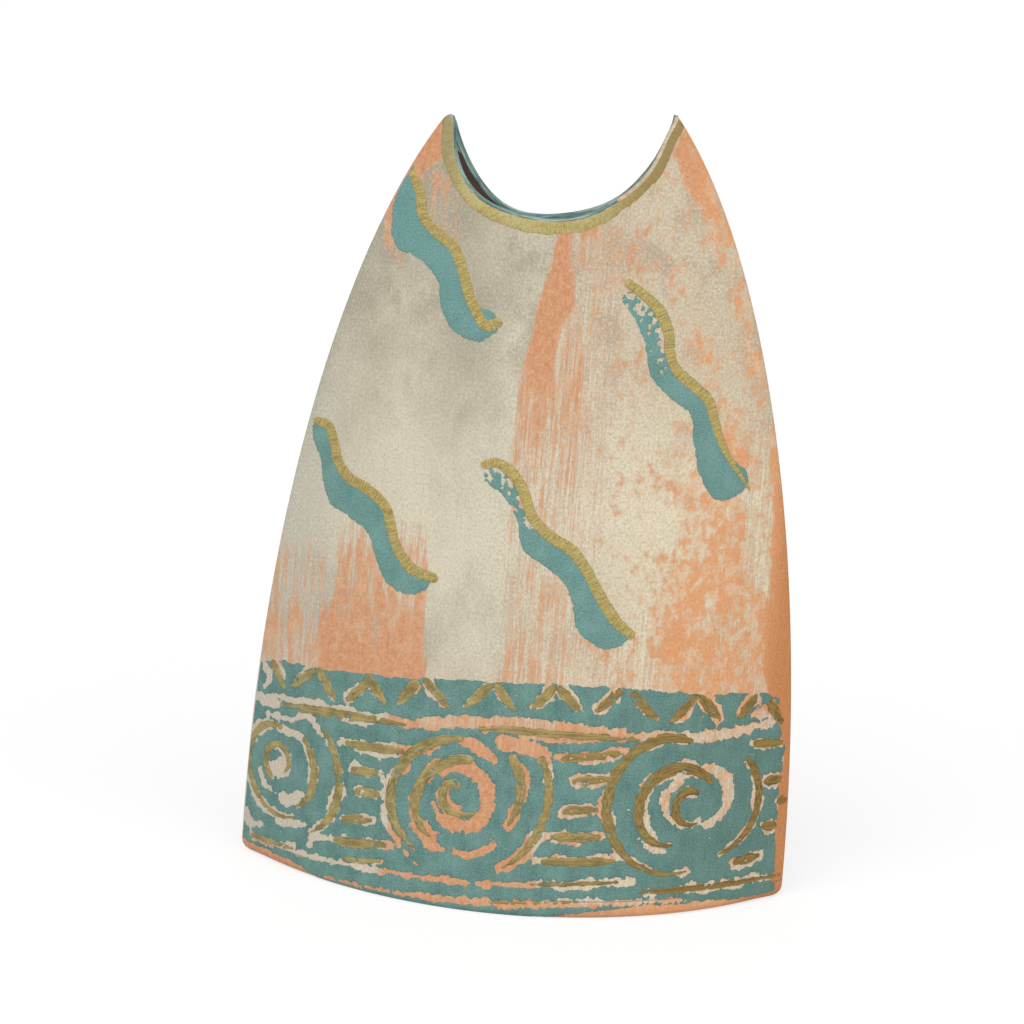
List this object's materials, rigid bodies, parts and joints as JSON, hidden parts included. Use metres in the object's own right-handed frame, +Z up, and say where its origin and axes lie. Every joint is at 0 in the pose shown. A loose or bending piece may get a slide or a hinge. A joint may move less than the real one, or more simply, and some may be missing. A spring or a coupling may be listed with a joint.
{
  "type": "pottery vase",
  "caption": "Flattened slab-built earthenware vase with a lens-shaped foot, crescent mouth between two horns, teal and gold brush decoration.",
  "frame": {"origin": "middle of the foot, on the plane it rests on", "axes": "+Z up to the horns, +X to the right seam, -Y out of the decorated front"},
  "size_m": [0.199, 0.0964, 0.28],
  "materials": {
    "terracotta": "matt, brushed wash",
    "teal_slip": "matt slip",
    "gold_lustre": "satin gold"
  },
  "bodies": {
    "root": {"front_wall": "terracotta", "back_wall": "terracotta", "base_slab": "terracotta", "left_seam_coil": "terracotta", "right_seam_coil": "terracotta", "base_coil": "terracotta", "front_rim_lip": "teal_slip", "front_band": "teal_slip", "front_wave_1": "teal_slip", "front_wave_2": "teal_slip", "front_wave_3": "teal_slip", "front_wave_4": "teal_slip", "back_rim_lip": "teal_slip", "back_band": "teal_slip", "back_wave_1": "teal_slip", "back_wave_2": "teal_slip", "back_wave_3": "teal_slip", "back_wave_4": "teal_slip", "front_rim_line": "gold_lustre", "front_wave_edge_1": "gold_lustre", "front_wave_edge_2": "gold_lustre", "front_wave_edge_3": "gold_lustre", "front_wave_edge_4": "gold_lustre", "front_rules": "gold_lustre", "front_chevrons": "gold_lustre", "front_dashes": "gold_lustre", "front_spiral_left": "gold_lustre", "front_spiral_middle": "gold_lustre", "front_spiral_right": "gold_lustre", "back_rim_line": "gold_lustre", "back_wave_edge_1": "gold_lustre", "back_wave_edge_2": "gold_lustre", "back_wave_edge_3": "gold_lustre", "back_wave_edge_4": "gold_lustre", "back_rules": "gold_lustre", "back_chevrons": "gold_lustre", "back_dashes": "gold_lustre", "back_spiral_left": "gold_lustre", "back_spiral_middle": "gold_lustre", "back_spiral_right": "gold_lustre"}
  },
  "joints": []
}
